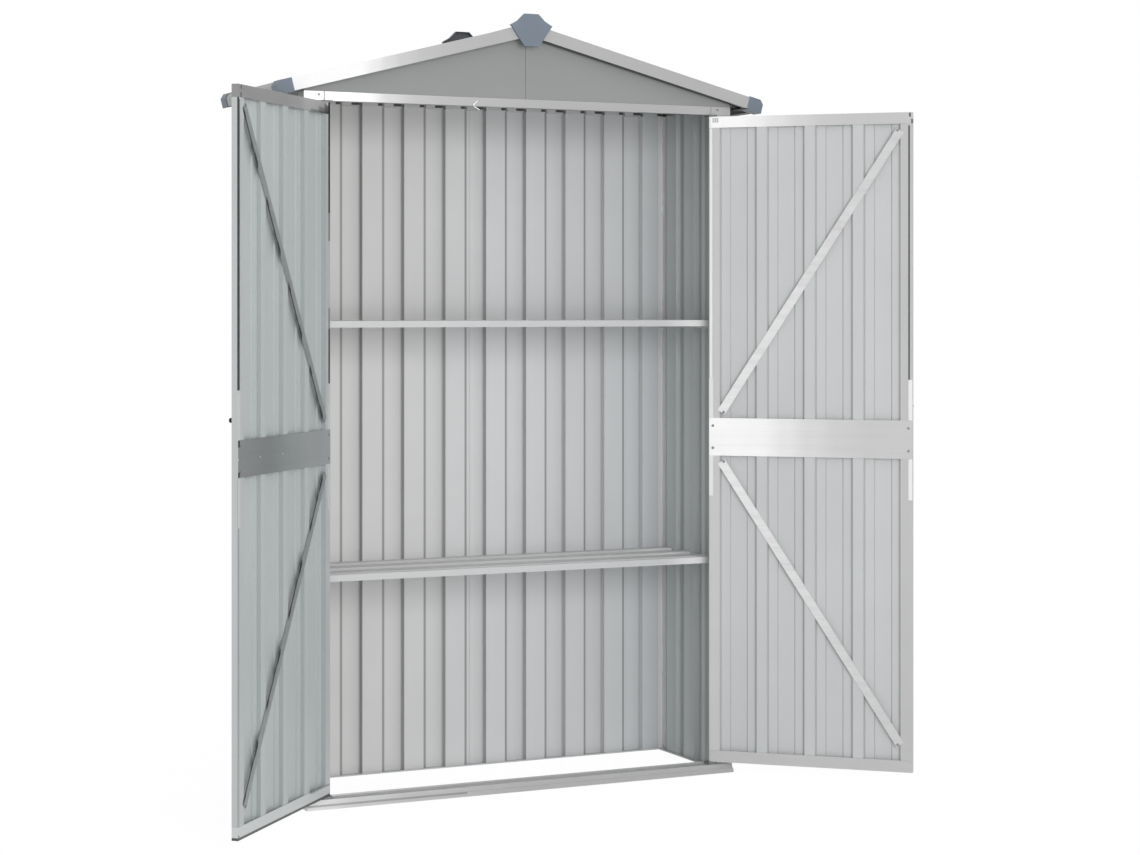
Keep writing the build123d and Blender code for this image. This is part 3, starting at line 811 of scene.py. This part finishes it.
# Closing strip over the back wall, painted with shade lines as the ribs go on, and painted dark at the ribs'
# ends as the shade in the gaps under the top rail
strip_front = 0.3166
strip_back = 0.3255
strip_thick = 0.0008
strip_low = wall_high - strip_thick
strip_top = 1.5745
strip_ends = (-0.52, 0.51)
gap_shade_low = 1.5615
gap_lead = 0.0118
crest_lag = 0.0042


def strip_layers():
    """Painted shade lines in step with the wall's ribs, and painted shade in a gap before each of them."""
    web_from = back_first + rib_web - gap_lead
    crest_to = back_first + crest_end - crest_lag
    gap_shade = boxed(z=(gap_shade_low, far), soft=0.001)
    return [(dark, 0.8, banded(web_from, back_pitch, 0.0, 0.007, 0.0015)),
            (dark, 0.6, banded(crest_to, back_pitch, 0.0, 0.0045, 0.001)),
            (dark, 0.95, gap_shade, banded(web_from, back_pitch, back_pitch - 0.0185, back_pitch, 0.002)),
            (dark, 0.95, gap_shade, banded(crest_to, back_pitch, back_pitch - 0.010, back_pitch, 0.002))]


def make_closing_strip():
    """An angle seen from its end: a face down the wall and a flat back over its top."""
    inside = strip_front + strip_thick
    under = strip_top - strip_thick
    section = [(strip_front, strip_low), (strip_front, strip_top), (strip_back, strip_top),
               (strip_back, under), (inside, under), (inside, strip_low)]
    kept("closing_strip", bent_strip("closing_strip", [(section, *strip_ends)], along="X"), "root",
         enamel("closing_coat", back_inner, strip_layers()))


def make_door_catch():
    """Small bent catch on the header's lower edge: a foot against it and a tongue below."""
    thick = 0.0016
    foot_back = -0.0001
    tongue_front = 0.0004
    foot = [(-0.1180, 1.5552), (-0.1180, 1.5528), (-0.1262, 1.5452), (-0.1250, 1.5425), (-0.1285, 1.5425),
            (-0.1295, 1.5455)]
    tongue = [(-0.1285, 1.5415), (-0.1250, 1.5415), (-0.1118, 1.5345), (-0.1130, 1.5325)]
    lengths = [(foot, -thick, foot_back), (tongue, tongue_front, tongue_front + thick)]
    # Its near-white coat is a painted highlight on the bent metal
    kept("door_catch", bent_strip("door_catch", lengths, 0.0003), "root",
         enamel("catch_coat", grey(252), roughness=0.3))


make_closing_strip()
make_door_catch()


# Screws: one tree of nodes sets a hex head on a washer at every point, turned the way it faces
def make_screw_tree(material):
    tree = bpy.data.node_groups.new("screw_heads", "GeometryNodeTree")
    tree.interface.new_socket("Geometry", in_out="INPUT", socket_type="NodeSocketGeometry")
    for label, value in (("Head Radius", 0.0032), ("Head Height", 0.0016), ("Washer Radius", 0.0052),
                         ("Washer Height", 0.0007)):
        tree.interface.new_socket(label, in_out="INPUT", socket_type="NodeSocketFloat").default_value = value
    tree.interface.new_socket("Seed", in_out="INPUT", socket_type="NodeSocketInt").default_value = 3
    tree.interface.new_socket("Geometry", in_out="OUTPUT", socket_type="NodeSocketGeometry")
    given = tree.nodes.new("NodeGroupInput").outputs
    discs = []
    for sides, radius, height, under in ((12, "Washer Radius", "Washer Height", None),
                                         (6, "Head Radius", "Head Height", "Washer Height")):
        disc = place(tree, "GeometryNodeMeshCylinder", {"Vertices": sides, "Radius": given[radius],
                                                        "Depth": given[height]})
        rise = sums(tree, "MULTIPLY", given[height], 0.5)
        if under:
            rise = sums(tree, "ADD", rise, given[under])
        lift = place(tree, "ShaderNodeCombineXYZ", {2: rise}).outputs[0]
        discs.append(place(tree, "GeometryNodeTransform", {"Geometry": disc.outputs["Mesh"],
                                                           "Translation": lift}).outputs[0])
    screw = place(tree, "GeometryNodeJoinGeometry")
    for disc in discs:
        tree.links.new(disc, screw.inputs[0])
    faced = place(tree, "GeometryNodeInputNamedAttribute", {"Name": "facing"}, data_type="FLOAT_VECTOR")
    aligned = place(tree, "FunctionNodeAlignRotationToVector", {"Vector": faced.outputs[0]}, axis="Z")
    spin = place(tree, "FunctionNodeRandomValue", {"Seed": given["Seed"]}, data_type="FLOAT")
    spin.inputs[3].default_value = math.tau
    about = place(tree, "ShaderNodeCombineXYZ", {2: spin.outputs[1]}).outputs[0]
    turn = place(tree, "FunctionNodeEulerToRotation", {0: about}).outputs[0]
    turned = place(tree, "FunctionNodeRotateRotation", {"Rotation": aligned.outputs[0], "Rotate By": turn},
                   rotation_space="LOCAL").outputs[0]
    set_out = place(tree, "GeometryNodeInstanceOnPoints", {"Points": given["Geometry"],
                                                           "Instance": screw.outputs[0], "Rotation": turned})
    real = place(tree, "GeometryNodeRealizeInstances", {"Geometry": set_out.outputs[0]})
    coated = place(tree, "GeometryNodeSetMaterial", {"Geometry": real.outputs[0], "Material": material})
    place(tree, "NodeGroupOutput", {0: coated.outputs[0]})
    return tree


def set_screws(name, tree, body, screws, sizes=None):
    """Screws of one body, each a point and the way it faces, as one plain mesh."""
    points = bpy.data.meshes.new(name)
    points.from_pydata([spot for spot, way in screws], [], [])
    facings = points.attributes.new("facing", "FLOAT_VECTOR", "POINT")
    for i, (spot, way) in enumerate(screws):
        facings.data[i].vector = way
    source = bpy.data.objects.new(name, points)
    bpy.context.collection.objects.link(source)
    modifier = source.modifiers.new("screws", "NODES")
    modifier.node_group = tree
    for item in tree.interface.items_tree:
        if item.in_out == "INPUT" and item.name in (sizes or {}):
            modifier[item.identifier] = sizes[item.name]
    kept(name, plain_mesh(source, name), body)


def spread(start, end, count):
    return [start + (end - start) * i / (count - 1) for i in range(count)]


def shed_screws():
    """Screws of the shed's body: header corners, rails, jambs, side walls and rear posts."""
    low_rail = 0.014
    back_rail = 1.5530
    corner_screw = (0.494, -0.0003, 1.5542)
    front_y = 0.020
    rear_y = 0.326
    post_x = 0.508
    heights = spread(0.10, 1.48, 6)
    across = spread(-0.42, 0.42, 5)
    screws = []
    for way in (-1, 1):
        out = (way, 0.0, 0.0)
        side_x = way * half_width
        screws.append(((way * corner_screw[0], *corner_screw[1:]), frontward))
        screws += [((side_x, y, low_rail), out) for y in spread(0.06, 0.29, 3)]
        screws += [((side_x, rear_y, z), out) for z in heights]
        screws += [((side_x, front_y, z), out) for z in heights]
        screws += [((way * post_x, wall_depth, z), backward) for z in heights]
    screws += [((x, wall_depth, z), backward) for z in (low_rail, back_rail) for x in across]
    return screws


def door_screws(side):
    """Screws of an open door: on its plate, its braces' ends and its rails' corners."""
    plate_row = 0.026
    plate_free = 0.012
    plate_hinge = door_edge - 0.009
    brace_in = 0.006
    corner_free = 0.014
    corner_hinge = door_edge - 0.012
    turn = door_turn(side)
    inner = Vector(door_way(side, backward))
    outer = -inner
    middle = (plate_low[side] + plate_high[side]) / 2
    inside = [(x, middle + rise) for x in (plate_free, plate_hinge) for rise in (plate_row, -plate_row)]
    for hinge_z, free_z in brace_ends:
        inside += [(brace_hinge - brace_in, hinge_z), (brace_free + brace_in, free_z)]
    outside = [(x, z) for x in (corner_free, corner_hinge)
               for z in (door_low + bottom_rail / 2, door_high - top_rail / 2)]
    screws = [(turn @ Vector((ways[side] * x, door_inner, z)), inner) for x, z in inside]
    screws += [(turn @ Vector((ways[side] * x, door_outer, z)), outer) for x, z in outside]
    return screws


screw_tree = make_screw_tree(zinc("screw_zinc", lin(150, 152, 154), roughness=0.36, metallic=0.5))
set_screws("shed_screws", screw_tree, "root", shed_screws())
door_sizes = {"Head Radius": 0.0022, "Head Height": 0.0009, "Washer Radius": 0.0034, "Washer Height": 0.0004}
for side in ways:
    set_screws(side + "_door_screws", screw_tree, side + "_door", door_screws(side), door_sizes)


# Camera
def set_camera():
    camera = bpy.data.cameras.new("camera")
    camera.sensor_width = film_width
    camera.lens = focal_pixels / photo_width * film_width
    camera.shift_y = (horizon_row - photo_height / 2) / photo_width
    eye = bpy.data.objects.new("camera", camera)
    eye.location = camera_spot
    eye.rotation_euler = (math.pi / 2, 0.0, -camera_turn)
    bpy.context.collection.objects.link(eye)
    bpy.context.scene.camera = eye


# Light, floor and background
studio_white = (1.0, 1.0, 1.0, 1.0)
world_strength = 0.50
floor_half = 60.0
floor_grey = (0.86, 0.86, 0.86, 1.0)
floor_glow = 1.06
floor_glow_share = 0.90
lamp_spot = (-0.8, -6.0, 1.5)
lamp_aim = (0.0, 0.0, 0.85)
lamp_size = 3.0
lamp_power = 165.0


def seen_directly(tree):
    """1 for rays from the camera and for those that metal or glass reflects or lets through."""
    rays = place(tree, "ShaderNodeLightPath").outputs
    total = sums(tree, "ADD", rays["Is Camera Ray"], rays["Is Glossy Ray"])
    total = sums(tree, "ADD", total, rays["Is Transmission Ray"])
    return sums(tree, "MINIMUM", total, 1.0)


def set_world():
    world = bpy.data.worlds.new("studio")
    bpy.context.scene.world = world
    world.use_nodes = True
    tree = world.node_tree
    tree.nodes.clear()
    lit = place(tree, "ShaderNodeBackground", {"Color": studio_white, "Strength": world_strength})
    backdrop = place(tree, "ShaderNodeBackground", {"Color": studio_white, "Strength": 1.0})
    both = place(tree, "ShaderNodeMixShader", {0: seen_directly(tree), 1: lit.outputs[0],
                                               2: backdrop.outputs[0]})
    place(tree, "ShaderNodeOutputWorld", {"Surface": both.outputs[0]})


def set_floor():
    mesh = bpy.data.meshes.new("floor")
    corners = [(-floor_half, -floor_half, 0), (floor_half, -floor_half, 0), (floor_half, floor_half, 0),
               (-floor_half, floor_half, 0)]
    mesh.from_pydata(corners, [], [(0, 1, 2, 3)])
    floor = bpy.data.objects.new("floor", mesh)
    bpy.context.collection.objects.link(floor)
    material, tree, shader = new_finish("floor_paper", Base_Color=floor_grey, Roughness=0.9)
    glow = place(tree, "ShaderNodeEmission", {"Color": studio_white, "Strength": floor_glow})
    share = sums(tree, "MULTIPLY", seen_directly(tree), floor_glow_share)
    both = place(tree, "ShaderNodeMixShader", {0: share, 1: shader.outputs[0], 2: glow.outputs[0]})
    tree.links.new(both.outputs[0], tree.nodes["Material Output"].inputs["Surface"])
    mesh.materials.append(material)


def set_lamp(name, spot, aim, size, power):
    """Square soft lamp that looks at a point."""
    lamp = bpy.data.lights.new(name, "AREA")
    lamp.size = size
    lamp.energy = power
    holder = bpy.data.objects.new(name, lamp)
    holder.location = spot
    holder.rotation_euler = (Vector(aim) - Vector(spot)).to_track_quat("-Z", "Y").to_euler()
    bpy.context.collection.objects.link(holder)


set_camera()
set_world()
set_floor()
set_lamp("key_lamp", lamp_spot, lamp_aim, lamp_size, lamp_power)

bpy.context.scene.view_settings.view_transform = "Standard"
